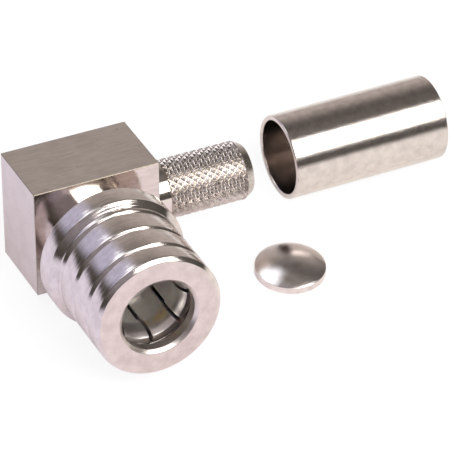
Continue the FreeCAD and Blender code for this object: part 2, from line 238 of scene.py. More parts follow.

# %% [markdown]
# ## The table's painted tint of light
# The table is white paper. The photograph's metal shows it a little pink in front, violet to the left and
# cream to the right, and darker with distance. These are the tint and the fall-off of the light on the paper,
# so they are painted light and painted shade in its colour for mirror and glass rays. Three tinted sheets
# could be laid, but their joints would show as lines, so one paper takes a painted tint that changes with the
# place.

# %% Paper's painted tint of light and shade
# Painted light: tints of the light that falls on the white paper in front, to the right and to the left.
FRONT_LIGHT_TINT, RIGHT_LIGHT_TINT, LEFT_LIGHT_TINT = "#FFF5F9", "#FFFCF8", "#EFE9FA"
LEFT_STARTS, LEFT_FULL = -2 * MM, -12 * MM
RIGHT_STARTS, RIGHT_FULL = 10 * MM, 18 * MM
# Painted shade: far from the plug, the paper's tint falls to this share of itself.
FADE_STARTS, FADE_ENDS, FALLOFF_SHARE = 30 * MM, 250 * MM, 0.60
paper = bpy.data.materials.new("white_paper_table")
paper.use_nodes = True
tree = paper.node_tree
tree.nodes.clear()
place = add_node(tree, "ShaderNodeTexCoord").outputs["Object"]
side = add_node(tree, "ShaderNodeSeparateXYZ", inputs={0: place}).outputs["X"]
to_left = add_node(tree, "ShaderNodeMapRange", inputs={
    "Value": side, "From Min": LEFT_STARTS, "From Max": LEFT_FULL}).outputs["Result"]
to_right = add_node(tree, "ShaderNodeMapRange", inputs={
    "Value": side, "From Min": RIGHT_STARTS, "From Max": RIGHT_FULL}).outputs["Result"]
# Painted light: the white paper is tinted pink in front, cream to the right and violet to the left.
hue = linear(FRONT_LIGHT_TINT)
for share, side_light_tint in ((to_right, RIGHT_LIGHT_TINT), (to_left, LEFT_LIGHT_TINT)):
    hue = add_node(tree, "ShaderNodeMix", {"data_type": "RGBA"}, {
        "Factor": share, COLOUR_A: hue, COLOUR_B: linear(side_light_tint)}).outputs[COLOUR_OUT]
# Painted shade: the tint darkens with distance from the plug and stands for the light's fall-off.
reach = add_node(tree, "ShaderNodeVectorMath", {"operation": "LENGTH"}, {0: place}).outputs["Value"]
painted_falloff = add_node(tree, "ShaderNodeMapRange", {"interpolation_type": "SMOOTHSTEP"}, {
    "Value": reach, "From Min": FADE_STARTS, "From Max": FADE_ENDS, "To Min": 1.0, "To Max": FALLOFF_SHARE})
painted_tint_and_shade = add_node(tree, "ShaderNodeVectorMath", {"operation": "SCALE"},
                  {0: hue, "Scale": painted_falloff.outputs["Result"]}).outputs["Vector"]
print("paper turns violet within", round((LEFT_STARTS - LEFT_FULL) / MM), "mm")

# %% [markdown]
# ## The table's glow
# Paper under lamps alone would turn grey away from them. So part of it glows for camera, mirror and glass
# rays and stays white, and the rest is lit paper that keeps the object's shadow. Mirror rays get only a
# little glow, because the dark patches on the housing's front are the shadowed paper under the plug. They
# get more to the left, where the window lights the paper.

# %% Paper glow
SEEN_GLOW, MIRRORED_GLOW, LEFT_GLOW = 0.80, 0.20, 0.68
GLOW_STRENGTH = 1.10
LIT_PAPER = "#F4F4F4"
ray = add_node(tree, "ShaderNodeLightPath")
mirrored = add_node(tree, "ShaderNodeMath", {"operation": "MAXIMUM"},
                    {0: ray.outputs["Is Glossy Ray"], 1: ray.outputs["Is Transmission Ray"]}).outputs[0]
# Mirror and glass rays see the paper in its painted tint and painted shade. Camera rays see plain white.
glow_hue = add_node(tree, "ShaderNodeMix", {"data_type": "RGBA"}, {
    "Factor": ray.outputs["Is Camera Ray"], COLOUR_A: painted_tint_and_shade, COLOUR_B: WHITE})
glow = add_node(tree, "ShaderNodeEmission",
                inputs={"Color": glow_hue.outputs[COLOUR_OUT], "Strength": GLOW_STRENGTH})
lit_hue = add_node(tree, "ShaderNodeMix", {"data_type": "RGBA"}, {
    "Factor": mirrored, COLOUR_A: linear(LIT_PAPER), COLOUR_B: painted_tint_and_shade})
lit = add_node(tree, "ShaderNodeBsdfDiffuse", inputs={"Color": lit_hue.outputs[COLOUR_OUT]})
seen_share = add_node(tree, "ShaderNodeMath", {"operation": "MULTIPLY"},
                      {0: ray.outputs["Is Camera Ray"], 1: SEEN_GLOW}).outputs[0]
mirrored_share = add_node(tree, "ShaderNodeMath", {"operation": "MULTIPLY_ADD"},
                          {0: to_left, 1: LEFT_GLOW, 2: MIRRORED_GLOW}).outputs[0]
glow_share = add_node(tree, "ShaderNodeMath", {"operation": "MULTIPLY_ADD"},
                      {0: mirrored, 1: mirrored_share, 2: seen_share}).outputs[0]
surface = add_node(tree, "ShaderNodeMixShader", inputs={
    0: glow_share, 1: lit.outputs[0], 2: glow.outputs[0]})
add_node(tree, "ShaderNodeOutputMaterial", inputs={"Surface": surface.outputs[0]})
print("paper has", len(tree.nodes), "nodes")

# %% [markdown]
# ## The table's sheet
# The sheet has to reach past everything that the metal mirrors. It is one flat square under the object, and
# it isn't attached to any of the plug's bodies.

# %% Table
HALF_SHEET = 1.5
sheet_mesh = bpy.data.meshes.new("table")
bm = bmesh.new()
bmesh.ops.create_grid(bm, x_segments=1, y_segments=1, size=HALF_SHEET)
bmesh.ops.translate(bm, vec=(0, 0, table_height), verts=bm.verts)
bm.to_mesh(sheet_mesh)
bm.free()
sheet_mesh.materials.append(paper)
table = bpy.data.objects.new("table", sheet_mesh)
bpy.context.scene.collection.objects.link(table)
print("table lies at", round(table_height / MM, 3), "mm")

# %% [markdown]
# ## Two soft boxes
# A lamp's mirror image is what makes the white bands on the ferrule, the sleeve and the cap, so each lamp's
# direction, width and height were read from where those bands start and stop: a large one at the front
# right and a smaller one high at the back left. A glowing sheet could stand for each, but an area lamp is
# the same flat rectangle and gives less noise. Its power is worked out from the brightness of its face.

# %% Soft boxes
LAMP_DISTANCE = 0.60
middle = (cad_low + cad_high) / 2


def soft_box(name, turn, rise, width, height, brightness, hue):
    """Adds an area lamp that faces the object from a compass direction, and gives its power."""
    away = compass(turn, rise)
    lamp = bpy.data.lights.new(name, "AREA")
    lamp.shape = "RECTANGLE"
    lamp.size, lamp.size_y = width, height
    lamp.energy = brightness * math.pi * width * height
    lamp.color = linear(hue)[:3]
    holder = bpy.data.objects.new(name, lamp)
    holder.location = middle + LAMP_DISTANCE * away
    holder.rotation_euler = away.to_track_quat("Z", "Y").to_euler()
    holder.visible_camera = False
    bpy.context.scene.collection.objects.link(holder)
    return lamp.energy


key_power = soft_box("key_soft_box", turn=156, rise=46.3, width=0.57, height=0.40, brightness=5.0,
                     hue="#FFFDFA")
left_power = soft_box("left_soft_box", turn=-42, rise=56.5, width=0.40, height=0.34, brightness=2.1,
                      hue="#F3F7FF")
print("lamp powers: %.2f and %.2f watts" % (key_power, left_power))

# %% [markdown]
# ## Coordinates for tool marks
# A lathe leaves fine rings round the work, and a mill leaves short straight strokes. Both patterns have to
# follow the piece's own axis, which leans. Each pattern could be turned by itself, but one Mapping node
# turns the object's coordinates level and scales them to millimetres, and all the patterns share it.

# %% Level coordinates
def level_place(tree):
    """Object coordinates in millimetres, turned so that Y runs along the plug's axis."""
    place = add_node(tree, "ShaderNodeTexCoord").outputs["Object"]
    return add_node(tree, "ShaderNodeMapping", inputs={
        "Vector": place, "Rotation": (TILT, 0, 0), "Scale": (1 / MM, 1 / MM, 1 / MM)}).outputs["Vector"]


def out_from_axis(tree, place):
    """How far a level place lies out from the plug's axis."""
    across = add_node(tree, "ShaderNodeVectorMath", {"operation": "MULTIPLY"}, {0: place, 1: (1, 0, 1)})
    return add_node(tree, "ShaderNodeVectorMath", {"operation": "LENGTH"},
                    {0: across.outputs["Vector"]}).outputs["Value"]


print("patterns are turned level by %.2f degrees" % math.degrees(TILT))

# %% [markdown]
# ## Rings from the lathe
# Rings could be a wave pattern, but real ones are uneven. A noise does it when it changes fast with one
# number, the distance along the axis plus the distance out from it, and slowly with the rest. It then gives
# rings on cylinders, cones and flat ends alike. On a steep cone the two distances could cancel out, so the
# distance out counts for more. The shader also takes the rings' direction, which is square to the axis and
# to the line out from it.

# %% Ring marks
OUTWARD_WEIGHT = 1.7
QUARTER_TURN = 0.25


def ring_marks(tree, place, rings_per_mm, drift_per_mm, detail):
    """A noise in rings round the axis, which drifts slowly across the piece."""
    along = add_node(tree, "ShaderNodeSeparateXYZ", inputs={0: place}).outputs["Y"]
    travel = add_node(tree, "ShaderNodeMath", {"operation": "MULTIPLY_ADD"},
                      {0: out_from_axis(tree, place), 1: OUTWARD_WEIGHT, 2: along})
    fast = add_node(tree, "ShaderNodeMath", {"operation": "MULTIPLY"},
                    {0: travel.outputs[0], 1: rings_per_mm})
    slow = add_node(tree, "ShaderNodeVectorMath", {"operation": "MULTIPLY"},
                    {0: place, 1: (drift_per_mm, 0, drift_per_mm)})
    parts = add_node(tree, "ShaderNodeSeparateXYZ", inputs={0: slow.outputs["Vector"]})
    ringed = add_node(tree, "ShaderNodeCombineXYZ", inputs={
        "X": parts.outputs["X"], "Y": fast.outputs[0], "Z": parts.outputs["Z"]})
    return add_node(tree, "ShaderNodeTexNoise", inputs={
        "Vector": ringed.outputs[0], "Scale": 1.0, "Detail": detail, "Roughness": 0.6}).outputs["Fac"]


def ring_direction(tree):
    """The direction of the rings at each point, in world space."""
    place = add_node(tree, "ShaderNodeTexCoord").outputs["Object"]
    around = add_node(tree, "ShaderNodeVectorMath", {"operation": "CROSS_PRODUCT"},
                      {0: tuple(mating_axis), 1: place})
    return add_node(tree, "ShaderNodeVectorTransform",
                    {"vector_type": "VECTOR", "convert_from": "OBJECT", "convert_to": "WORLD"},
                    {0: around.outputs["Vector"]}).outputs["Vector"]


print("rings follow the axis", tuple(round(part, 3) for part in mating_axis))

# %% [markdown]
# ## Starting a finish
# Every finish starts from an empty material with one Principled shader, so that is a helper of its own.
# Plating is never one even colour, because it takes up a little dirt and oxide in patches. A picture of
# stains could be laid on, but a coarse noise between two close tints does the same at any size.

# %% Empty materials and patchy tints
def new_material(name):
    """An empty node material, its tree, and its shader node already joined to the output."""
    material = bpy.data.materials.new(name)
    material.use_nodes = True
    tree = material.node_tree
    tree.nodes.clear()
    shader = add_node(tree, "ShaderNodeBsdfPrincipled")
    add_node(tree, "ShaderNodeOutputMaterial", inputs={"Surface": shader.outputs[0]})
    return material, tree, shader


def plug(tree, shader, **sockets):
    """Sets or links shader inputs. A name's underscores stand for spaces."""
    for name, value in sockets.items():
        target = shader.inputs[name.replace("_", " ")]
        if isinstance(value, bpy.types.NodeSocket):
            tree.links.new(value, target)
        else:
            target.default_value = value


def patchy_tint(tree, place, tints, patches_per_mm):
    """A colour that changes between two tints in patches."""
    cloud = add_node(tree, "ShaderNodeTexNoise", inputs={
        "Vector": place, "Scale": patches_per_mm, "Detail": 4.0, "Roughness": 0.65}).outputs["Fac"]
    share = add_node(tree, "ShaderNodeMapRange", inputs={"Value": cloud, "From Min": 0.35, "From Max": 0.65})
    return add_node(tree, "ShaderNodeMix", {"data_type": "RGBA"}, {
        "Factor": share.outputs["Result"], COLOUR_A: linear(tints[0]),
        COLOUR_B: linear(tints[1])}).outputs[COLOUR_OUT]


print("plating changes between", NICKEL, "and", DULL_NICKEL)

# %% [markdown]
# ## Turned nickel plate
# Nickel on turned brass: a warm silver mirror, broken by rings from the tool. The rings spread a highlight
# across themselves and leave it sharp along themselves, which is anisotropy, with the rings' direction as
# tangent. The rings are about 0.02 mm apart in the metal, too fine to show, so they are drawn ten times
# coarser. Plating reaches less well into a bore and stays duller there, so the surface near the axis has a
# roughness of its own behind a given station: from the mouth on in the sleeve, from the crest on in the
# collet.

# %% Turned nickel
BORE_R = 3.12
BORE_EDGE = 0.1
RINGS_PER_MM = 5.0
BEFORE_THE_MOUTH, AT_THE_CREST = -1.0, 3.3


def turned_nickel(name, tints, roughness, anisotropy, ring_depth, bore_from, bore_roughness):
    """Nickel plate over turned brass, with faint rings round the plug's axis and a duller bore."""
    material, tree, shader = new_material(name)
    place = level_place(tree)
    rings = ring_marks(tree, place, RINGS_PER_MM, drift_per_mm=0.35, detail=2.0)
    uneven = add_node(tree, "ShaderNodeMapRange", inputs={
        "Value": rings, "From Min": 0.3, "From Max": 0.7, "To Min": roughness * 0.85,
        "To Max": roughness * 1.2})
    near_axis = add_node(tree, "ShaderNodeMapRange", inputs={
        "Value": out_from_axis(tree, place), "From Min": BORE_R, "From Max": BORE_R - BORE_EDGE})
    along = add_node(tree, "ShaderNodeSeparateXYZ", inputs={0: place}).outputs["Y"]
    bore_starts = bore_from - ORIGIN_STATION
    inside = add_node(tree, "ShaderNodeMapRange", inputs={
        "Value": along, "From Min": bore_starts, "From Max": bore_starts + BORE_EDGE})
    bored = add_node(tree, "ShaderNodeMath", {"operation": "MULTIPLY"},
                     {0: near_axis.outputs["Result"], 1: inside.outputs["Result"]})
    dullness = add_node(tree, "ShaderNodeMix", {"data_type": "FLOAT"}, {
        "Factor": bored.outputs[0], NUMBER_A: uneven.outputs["Result"], NUMBER_B: bore_roughness})
    marks = add_node(tree, "ShaderNodeBump", inputs={
        "Strength": 1.0, "Distance": ring_depth * MM, "Height": rings})
    plug(tree, shader, Metallic=1.0, Base_Color=patchy_tint(tree, place, tints, patches_per_mm=1.2),
         Roughness=dullness.outputs[NUMBER_OUT], Normal=marks.outputs["Normal"], Anisotropic=anisotropy,
         Anisotropic_Rotation=QUARTER_TURN, Tangent=ring_direction(tree))
    return material


sleeve_nickel = turned_nickel("turned_nickel_plate", (NICKEL, DULL_NICKEL), roughness=0.15, anisotropy=0.35,
                              ring_depth=0.015, bore_from=BEFORE_THE_MOUTH, bore_roughness=0.34)
spring_nickel = turned_nickel("turned_spring_nickel_plate", ("#F2EFEC", "#E8E4E1"), roughness=0.32,
                              anisotropy=0.2, ring_depth=0.004, bore_from=AT_THE_CREST,
                              bore_roughness=0.55)
print("made", sleeve_nickel.name, "and", spring_nickel.name)

# %% [markdown]
# ## Milled strokes, pits and worn edges
# The housing is cut from square bar. Its outer faces are milled and lightly tumbled, which leaves fine
# strokes and a few dark pits, and the plating is worn on the broken edges, where a line of brass shows.
# Each could be painted by hand, but a stretched noise gives the strokes, scattered dots the pits, and a
# surface that faces between two sides is an edge.

# %% Marks on the housing's faces
STROKES_PER_MM = (0.7, 9.0, 9.0)
PIT, WORN_EDGE, MILLED = "#6F655C", "#A89E90", "#D3CBC4"
FLAT_FACING, EDGE_FACING = 0.95, 0.85


def milled_strokes(tree, place):
    """A noise drawn out along X into short strokes."""
    drawn_out = add_node(tree, "ShaderNodeVectorMath", {"operation": "MULTIPLY"},
                         {0: place, 1: STROKES_PER_MM}).outputs["Vector"]
    return add_node(tree, "ShaderNodeTexNoise", inputs={
        "Vector": drawn_out, "Scale": 1.0, "Detail": 5.0, "Roughness": 0.7}).outputs["Fac"]


def milled_colour(tree, place, strokes):
    """Nickel that is darker along its strokes and in a few small pits."""
    cloud = add_node(tree, "ShaderNodeTexNoise", inputs={
        "Vector": place, "Scale": 0.6, "Detail": 3.0, "Roughness": 0.55}).outputs["Fac"]
    mixed = add_node(tree, "ShaderNodeMix", {"data_type": "FLOAT"}, {
        "Factor": 0.7, NUMBER_A: cloud, NUMBER_B: strokes}).outputs[NUMBER_OUT]
    tone = add_node(tree, "ShaderNodeMapRange", inputs={"Value": mixed, "From Min": 0.4, "From Max": 0.6})
    base = add_node(tree, "ShaderNodeMix", {"data_type": "RGBA"}, {
        "Factor": tone.outputs["Result"], COLOUR_A: linear(MILLED), COLOUR_B: linear(NICKEL)})
    dots = add_node(tree, "ShaderNodeTexVoronoi", {"feature": "F1"}, {"Vector": place, "Scale": 0.5})
    in_pit = add_node(tree, "ShaderNodeMapRange", inputs={
        "Value": dots.outputs["Distance"], "From Min": 0.02, "From Max": 0.05, "To Min": 0.5, "To Max": 0.0})
    return add_node(tree, "ShaderNodeMix", {"data_type": "RGBA"}, {
        "Factor": in_pit.outputs["Result"], COLOUR_A: base.outputs[COLOUR_OUT],
        COLOUR_B: linear(PIT)}).outputs[COLOUR_OUT]


def edge_share(tree, facing):
    """How much of an edge a surface is: 1 where it faces between two sides of the block."""
    level_facing = add_node(tree, "ShaderNodeVectorRotate", {"rotation_type": "X_AXIS"},
                            {"Vector": facing, "Angle": TILT})
    sides = add_node(tree, "ShaderNodeVectorMath", {"operation": "ABSOLUTE"}, {0: level_facing.outputs[0]})
    parts = add_node(tree, "ShaderNodeSeparateXYZ", inputs={0: sides.outputs["Vector"]})
    widest = parts.outputs["X"]
    for part in ("Y", "Z"):
        widest = add_node(tree, "ShaderNodeMath", {"operation": "MAXIMUM"},
                          {0: widest, 1: parts.outputs[part]}).outputs[0]
    return add_node(tree, "ShaderNodeMapRange", inputs={
        "Value": widest, "From Min": FLAT_FACING, "From Max": EDGE_FACING}).outputs["Result"]


print("strokes are about %.1f mm long" % (1 / STROKES_PER_MM[0]))

# %% [markdown]
# ## Milled and turned nickel on the housing
# The housing is one piece with two finishes. Its front face, its neck and its nose are turned from the same
# bar and stay bright, with rings, and its other faces are milled and duller. It could take two materials,
# but a solid's faces would have to be sorted first, so one material tells them apart by how far out from
# the axis a point lies and which way it faces.

# %% Housing nickel
BLOCK_FACES_FROM = 4.2
HOUSING_RINGS_PER_MM = 6.0
MARK_DEPTH = 0.0015
TURNED_ROUGHNESS, WORN_ROUGHNESS = 0.10, 0.5


def housing_nickel(name):
    """Milled nickel with worn edges, and bright turned nickel on the nose and the block's front."""
    material, tree, shader = new_material(name)
    place = level_place(tree)
    facing = add_node(tree, "ShaderNodeTexCoord").outputs["Normal"]
    strokes = milled_strokes(tree, place)
    rings = ring_marks(tree, place, HOUSING_RINGS_PER_MM, drift_per_mm=0.3, detail=3.0)
    on_block = add_node(tree, "ShaderNodeMath", {"operation": "GREATER_THAN"},
                        {0: out_from_axis(tree, place), 1: BLOCK_FACES_FROM}).outputs[0]
    worn = add_node(tree, "ShaderNodeMath", {"operation": "MULTIPLY"},
                    {0: edge_share(tree, facing), 1: on_block}).outputs[0]
    colour = add_node(tree, "ShaderNodeMix", {"data_type": "RGBA"}, {
        "Factor": worn, COLOUR_A: milled_colour(tree, place, strokes), COLOUR_B: linear(WORN_EDGE)})
    forward = add_node(tree, "ShaderNodeVectorMath", {"operation": "DOT_PRODUCT"},
                       {0: facing, 1: tuple(-mating_axis)}).outputs["Value"]
    faced = add_node(tree, "ShaderNodeMapRange", inputs={
        "Value": forward, "From Min": EDGE_FACING, "From Max": FLAT_FACING}).outputs["Result"]
    turned = add_node(tree, "ShaderNodeMix", {"data_type": "FLOAT"}, {
        "Factor": on_block, NUMBER_A: 1.0, NUMBER_B: faced}).outputs[NUMBER_OUT]
    roughness = add_node(tree, "ShaderNodeMapRange", inputs={
        "Value": strokes, "From Min": 0.3, "From Max": 0.7, "To Min": 0.28,
        "To Max": 0.36}).outputs["Result"]
    for share, own_roughness in ((turned, TURNED_ROUGHNESS), (worn, WORN_ROUGHNESS)):
        roughness = add_node(tree, "ShaderNodeMix", {"data_type": "FLOAT"}, {
            "Factor": share, NUMBER_A: roughness, NUMBER_B: own_roughness}).outputs[NUMBER_OUT]
    relief = add_node(tree, "ShaderNodeMix", {"data_type": "FLOAT"}, {
        "Factor": faced, NUMBER_A: strokes, NUMBER_B: rings}).outputs[NUMBER_OUT]
    marks = add_node(tree, "ShaderNodeBump", inputs={
        "Strength": 1.0, "Distance": MARK_DEPTH * MM, "Height": relief})
    plug(tree, shader, Metallic=1.0, Base_Color=colour.outputs[COLOUR_OUT], Roughness=roughness,
         Normal=marks.outputs["Normal"], Anisotropic=0.25, Anisotropic_Rotation=QUARTER_TURN,
         Tangent=ring_direction(tree))
    return material


block_nickel = housing_nickel("milled_nickel_plate")
print("made", block_nickel.name)

# %% [markdown]
# ## Knurled, drawn and pressed nickel plate
# The knurl, the ferrule and the cap have no rings. Plating over a knurl has slightly rounded ridges, the
# ferrule is drawn tube with a faint orange-peel grain, and the cap is pressed sheet, a little duller than
# the ferrule. They differ in tint, gloss and grain, so one function makes all three. The stem's neck is
# smooth turned metal up to where its knurl starts, and the function can leave such a stretch bright.

# %% Plain nickel finishes
KNURL_START = 6.56
NECK_ROUGHNESS = 0.12
CHANGE_WIDTH = 0.1


def plain_nickel(name, tints, roughness, grain_per_mm, grain_depth, smooth_before=None):
    """Nickel plate with an even grain and no tool direction. It may be smooth up to a place along X."""
    material, tree, shader = new_material(name)
    place = level_place(tree)
    grain = add_node(tree, "ShaderNodeTexNoise", inputs={
        "Vector": place, "Scale": grain_per_mm, "Detail": 2.0, "Roughness": 0.5}).outputs["Fac"]
    marks = add_node(tree, "ShaderNodeBump", inputs={
        "Strength": 1.0, "Distance": grain_depth * MM, "Height": grain})
    colour = patchy_tint(tree, place, tints, patches_per_mm=1.5)
    dullness = add_node(tree, "ShaderNodeMapRange", inputs={
        "Value": grain, "From Min": 0.3, "From Max": 0.7, "To Min": roughness * 0.8,
        "To Max": roughness * 1.25}).outputs["Result"]
    if smooth_before is not None:
        along = add_node(tree, "ShaderNodeSeparateXYZ", inputs={0: place}).outputs["X"]
        grained = add_node(tree, "ShaderNodeMapRange", inputs={
            "Value": along, "From Min": smooth_before - CHANGE_WIDTH / 2,
            "From Max": smooth_before + CHANGE_WIDTH / 2}).outputs["Result"]
        tree.links.new(grained, marks.inputs["Strength"])
        colour = add_node(tree, "ShaderNodeMix", {"data_type": "RGBA"}, {
            "Factor": grained, COLOUR_A: linear(NICKEL), COLOUR_B: colour}).outputs[COLOUR_OUT]
        dullness = add_node(tree, "ShaderNodeMix", {"data_type": "FLOAT"}, {
            "Factor": grained, NUMBER_A: NECK_ROUGHNESS, NUMBER_B: dullness}).outputs[NUMBER_OUT]
    plug(tree, shader, Metallic=1.0, Base_Color=colour, Roughness=dullness, Normal=marks.outputs["Normal"])
    return material


knurl_nickel = plain_nickel("knurled_nickel_plate", ("#DAD2CC", "#BCB4AD"), roughness=0.25,
                            grain_per_mm=11.0, grain_depth=0.009, smooth_before=KNURL_START)
ferrule_nickel = plain_nickel("drawn_tube_nickel_plate", (NICKEL, DULL_NICKEL), roughness=0.15,
                              grain_per_mm=14.0, grain_depth=0.007)
cap_nickel = plain_nickel("pressed_nickel_plate", ("#ECE5E2", "#DBD3D0"), roughness=0.19, grain_per_mm=14.0,
                          grain_depth=0.009)
print("made", knurl_nickel.name, ferrule_nickel.name, cap_nickel.name)

# %% [markdown]
# ## PTFE and gold plate
# Deep in the mouth sit a white PTFE tube and a gold-plated pin. PTFE is a waxy white plastic that light
# enters a little way. Gold plate on a contact is thin and bright. Either could be one flat colour, but a
# perfectly even colour looks like a drawing, so both are faintly clouded.

# %% PTFE and gold
def clouded_tint(tree, tints, clouds_per_mm):
    """A colour that drifts smoothly between two close tints."""
    cloud = add_node(tree, "ShaderNodeTexNoise", inputs={
        "Vector": level_place(tree), "Scale": clouds_per_mm, "Detail": 3.0}).outputs["Fac"]
    return add_node(tree, "ShaderNodeMix", {"data_type": "RGBA"}, {
        "Factor": cloud, COLOUR_A: linear(tints[0]), COLOUR_B: linear(tints[1])}).outputs[COLOUR_OUT]


ptfe, tree, shader = new_material("turned_ptfe")
plug(tree, shader, Base_Color=clouded_tint(tree, ("#F1F1EC", "#E4E4DE"), clouds_per_mm=2.0),
     Roughness=0.45, IOR=1.35, Subsurface_Weight=0.3, Subsurface_Scale=0.6 * MM)
gold, tree, shader = new_material("gold_plate_on_contact")
plug(tree, shader, Metallic=1.0, Base_Color=clouded_tint(tree, ("#D9B868", "#C9A452"), clouds_per_mm=3.0),
     Roughness=0.22)
print("made", ptfe.name, "and", gold.name)

# %% [markdown]
# ## Turning a piece
# A turned piece is its half profile carried round the axis. It could be stacked from cylinders and cones,
# but then no edge would be round. Here the profile is filled, its corners are rounded with a vertex bevel,
# the filling is thrown away and the outline is spun.

# %% Profile, rounding and spin
STEPS_ROUND = 128
MERGE_WITHIN = 0.00002 * MM
CENTRE, AXIS = (0, 0, 0), (0, 1, 0)


def profile_outline(bm, points, edge_radius, radii=None):
    """A closed outline in the plane of Y along and Z out, in millimetres, with its corners rounded."""
    corners = [bm.verts.new((0, along * MM, out * MM)) for along, out in points]
    bm.faces.new(corners)
    own = {corners[place]: radius for place, radius in (radii or {}).items()}
    for radius in sorted(set(own.values()) | {edge_radius}):
        chosen = [corner for corner in corners if own.get(corner, edge_radius) == radius and radius > 0]
        if chosen:
            bmesh.ops.bevel(bm, geom=chosen, offset=radius * MM, offset_type="OFFSET", segments=3,
                            profile=0.5, affect="VERTICES", clamp_overlap=True, material=-1)
    bmesh.ops.delete(bm, geom=bm.faces[:], context="FACES_ONLY")


def spin_outline(bm, steps=STEPS_ROUND):
    """Carries the outline a full turn round the Y axis and closes it where it meets itself."""
    bmesh.ops.spin(bm, geom=bm.verts[:] + bm.edges[:], cent=CENTRE, axis=AXIS, angle=2 * math.pi,
                   steps=steps, use_merge=True, use_duplicate=False)
    bmesh.ops.remove_doubles(bm, verts=bm.verts, dist=MERGE_WITHIN)


print("turned pieces have", STEPS_ROUND, "steps round")

# %% [markdown]
# ## Finishing a piece
# Smooth shading alone would bend the light across flat bands next to small round edges. Weighted normals
# let the large faces decide, so that flat bands stay flat.

# %% Making a piece
def finish_piece(name, bm, place, material, body, node, weighted=True):
    """Puts a finished bmesh where its solid is and makes it a piece of the object."""
    bmesh.ops.remove_doubles(bm, verts=bm.verts, dist=MERGE_WITHIN)
    bmesh.ops.recalc_face_normals(bm, faces=bm.faces)
    bmesh.ops.transform(bm, matrix=place, verts=bm.verts)
    for face in bm.faces:
        face.smooth = True
    mesh = bpy.data.meshes.new(name)
    bm.to_mesh(mesh)
    open_edges = sum(not edge.is_manifold for edge in bm.edges)
    bm.free()
    mesh.materials.append(material)
    piece = bpy.data.objects.new(name, mesh)
    bpy.context.scene.collection.objects.link(piece)
    if weighted:
        even = piece.modifiers.new("flat_bands", "WEIGHTED_NORMAL")
        even.weight = 50
        even.keep_sharp = True
    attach(piece, body)
    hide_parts(node)
    print("%s: %d faces, %d open edges" % (name, len(mesh.polygons), open_edges))
    return piece


print("pieces merge doubles closer than", MERGE_WITHIN / MM, "mm")

# %% [markdown]
# ## The coupling sleeve
# The sleeve slides back to unlock the plug. It has a chamfered front, three V-shaped grip grooves, and a
# collar at the rear whose front is a short cone. Inside it is stepped: a guide wall at the mouth, room for
# the fingers to spread, a narrow band that locks them, more room, and the channel for the retaining ring
# between two bearing bands. The grooves could be cut from a plain tube, but drawn into the profile they get
# round edges.

# %% Coupling sleeve
SLEEVE_R, FRONT_CHAMFER = 4.75, 0.27
COLLAR_R, COLLAR_CONE_FRONT, COLLAR_CONE_REAR, COLLAR_REAR, COLLAR_BREAK = 5.19, 6.79, 7.25, 8.965, 0.12
FIRST_GROOVE, GROOVE_PITCH, GROOVE_COUNT = 1.88, 2.2475, 3
GROOVE_HALF, GROOVE_DEPTH = 0.22, 0.22
MOUTH_R, MOUTH_CHAMFER = 2.76, 0.24
SLEEVE_ROUNDING = 0.035
# Each step inside, from the rear: the station of its front end and its radius.
REAR_BEARING, RING_CHANNEL, FRONT_BEARING = (8.58, 3.56), (8.02, 4.00), (7.30, 3.56)
FINGER_ROOM, LOCKING_BAND, SPREAD_ROOM = (2.75, 3.85), (1.90, 3.50), (0.95, 3.95)


def sleeve_profile():
    """The sleeve's half section as station and radius: outside from the mouth back, then inside forwards."""
    outside = [(0, SLEEVE_R - FRONT_CHAMFER), (FRONT_CHAMFER, SLEEVE_R)]
    for count in range(GROOVE_COUNT):
        centre = FIRST_GROOVE + count * GROOVE_PITCH
        outside += [(centre - GROOVE_HALF, SLEEVE_R), (centre, SLEEVE_R - GROOVE_DEPTH),
                    (centre + GROOVE_HALF, SLEEVE_R)]
    outside += [(COLLAR_CONE_FRONT, SLEEVE_R), (COLLAR_CONE_REAR, COLLAR_R),
                (COLLAR_REAR - COLLAR_BREAK, COLLAR_R), (COLLAR_REAR, COLLAR_R - COLLAR_BREAK)]
    inside = []
    rear = COLLAR_REAR
    for front, radius in (REAR_BEARING, RING_CHANNEL, FRONT_BEARING, FINGER_ROOM, LOCKING_BAND, SPREAD_ROOM):
        inside += [(rear, radius), (front, radius)]
        rear = front
    mouth = [(rear, MOUTH_R), (MOUTH_CHAMFER, MOUTH_R), (0, MOUTH_R + MOUTH_CHAMFER)]
    return outside + inside + mouth


bm = bmesh.new()
profile_outline(bm, sleeve_profile(), SLEEVE_ROUNDING)
spin_outline(bm)
finish_piece("grip_sleeve", bm, on_axis, sleeve_nickel, "sleeve", "coupling_sleeve")

# %% [markdown]
# ## The collet's profiles
# Eight spring fingers grip the mating jack. Each has a bead outside, which the sleeve's locking band holds
# down, and a crest inside, which grips. Its mouth could be a straight chamfer, but the real one flares more
# and more steeply towards the front to guide the jack in, so its radius follows a power of the way from the
# crest.

# %% Finger and ring profiles
FINGER_COUNT = 8
FINGER_FRONT, SLOT_ROOT, COLLET_REAR = 1.86, 6.40, 7.50
FINGER_R, COLLET_BORE = 3.25, 2.80
BEAD_R, BEAD_BREAK, BEAD_REAR, BEAD_SLOPE = 3.42, 0.12, 2.48, 0.18
CREST_R, CREST_FRONT, CREST_REAR, CREST_SLOPE = 2.53, 3.25, 3.67, 0.20
FLARE, FLARE_POWER = 0.36, 2.5
FLARE_SHARES = (0, 0.3, 0.5, 0.65, 0.78, 0.9, 1)
flare = [(CREST_FRONT - (CREST_FRONT - FINGER_FRONT) * share, CREST_R + FLARE * share ** FLARE_POWER)
         for share in FLARE_SHARES]
bead = [(FINGER_FRONT, BEAD_R - BEAD_BREAK), (FINGER_FRONT + BEAD_BREAK, BEAD_R), (BEAD_REAR, BEAD_R),
        (BEAD_REAR + BEAD_SLOPE, FINGER_R)]
root = [(SLOT_ROOT, FINGER_R), (SLOT_ROOT, COLLET_BORE)]
crest = [(CREST_REAR + CREST_SLOPE, COLLET_BORE), (CREST_REAR, CREST_R)]
